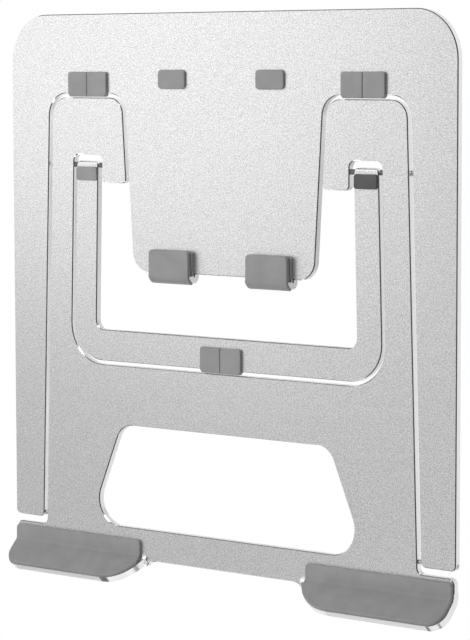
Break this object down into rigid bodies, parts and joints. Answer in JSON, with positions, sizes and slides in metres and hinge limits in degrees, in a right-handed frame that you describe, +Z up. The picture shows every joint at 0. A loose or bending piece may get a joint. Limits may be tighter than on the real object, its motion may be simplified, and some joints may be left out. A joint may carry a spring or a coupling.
{
  "type": "folding laptop stand",
  "caption": "Flat-folding laptop stand of nested sheet-aluminium frames, with padded lips, a hinged support plate and a hinged U-shaped prop.",
  "frame": {"origin": "under the centre of the folded outline, on the surface that the rubber feet stand on", "axes": "+X to the right, +Y from the lips to the rear edge, +Z up from the desk"},
  "size_m": [0.256, 0.2664, 0.0157],
  "materials": {
    "anodised_sheet": "bead-blasted and anodised, bright chamfered edges",
    "grey_rubber": "matte moulded silicone rubber",
    "pin_steel": "ground steel",
    "spacer_plastic": "natural acetal"
  },
  "bodies": {
    "base": {"base_frame": "anodised_sheet", "hook_cover_left": "grey_rubber", "hook_cover_right": "grey_rubber", "foot_plug_left": "grey_rubber", "foot_plug_right": "grey_rubber", "slot_bumper_left_a": "grey_rubber", "slot_bumper_left_b": "grey_rubber", "slot_bumper_right_a": "grey_rubber", "slot_bumper_right_b": "grey_rubber", "plate_hinge_pin_left": "pin_steel", "plate_hinge_pin_right": "pin_steel"},
    "plate": {"support_plate": "anodised_sheet", "lip_pad_left": "grey_rubber", "lip_pad_right": "grey_rubber", "heel_foot_left": "grey_rubber", "heel_foot_right": "grey_rubber", "prop_hinge_pin_left": "pin_steel", "prop_hinge_pin_right": "pin_steel", "inner_spacer_left": "spacer_plastic", "inner_spacer_right": "spacer_plastic", "outer_spacer_left": "spacer_plastic", "outer_spacer_right": "spacer_plastic"},
    "prop": {"prop_frame": "anodised_sheet", "prop_pad_left": "grey_rubber", "prop_pad_right": "grey_rubber", "prop_bumper_a": "grey_rubber", "prop_bumper_b": "grey_rubber"}
  },
  "joints": [
    {"name": "plate_tilt", "type": "hinge", "parent": "base", "child": "plate", "pos_m": [0, -0.10566, 0.00275], "axis": [1, 0, 0], "range_deg": [0, 34.5]},
    {"name": "prop_swing", "type": "hinge", "parent": "plate", "child": "prop", "pos_m": [0, 0.06264, 0.00275], "axis": [1, 0, 0], "range_deg": [0, 51.4]}
  ]
}
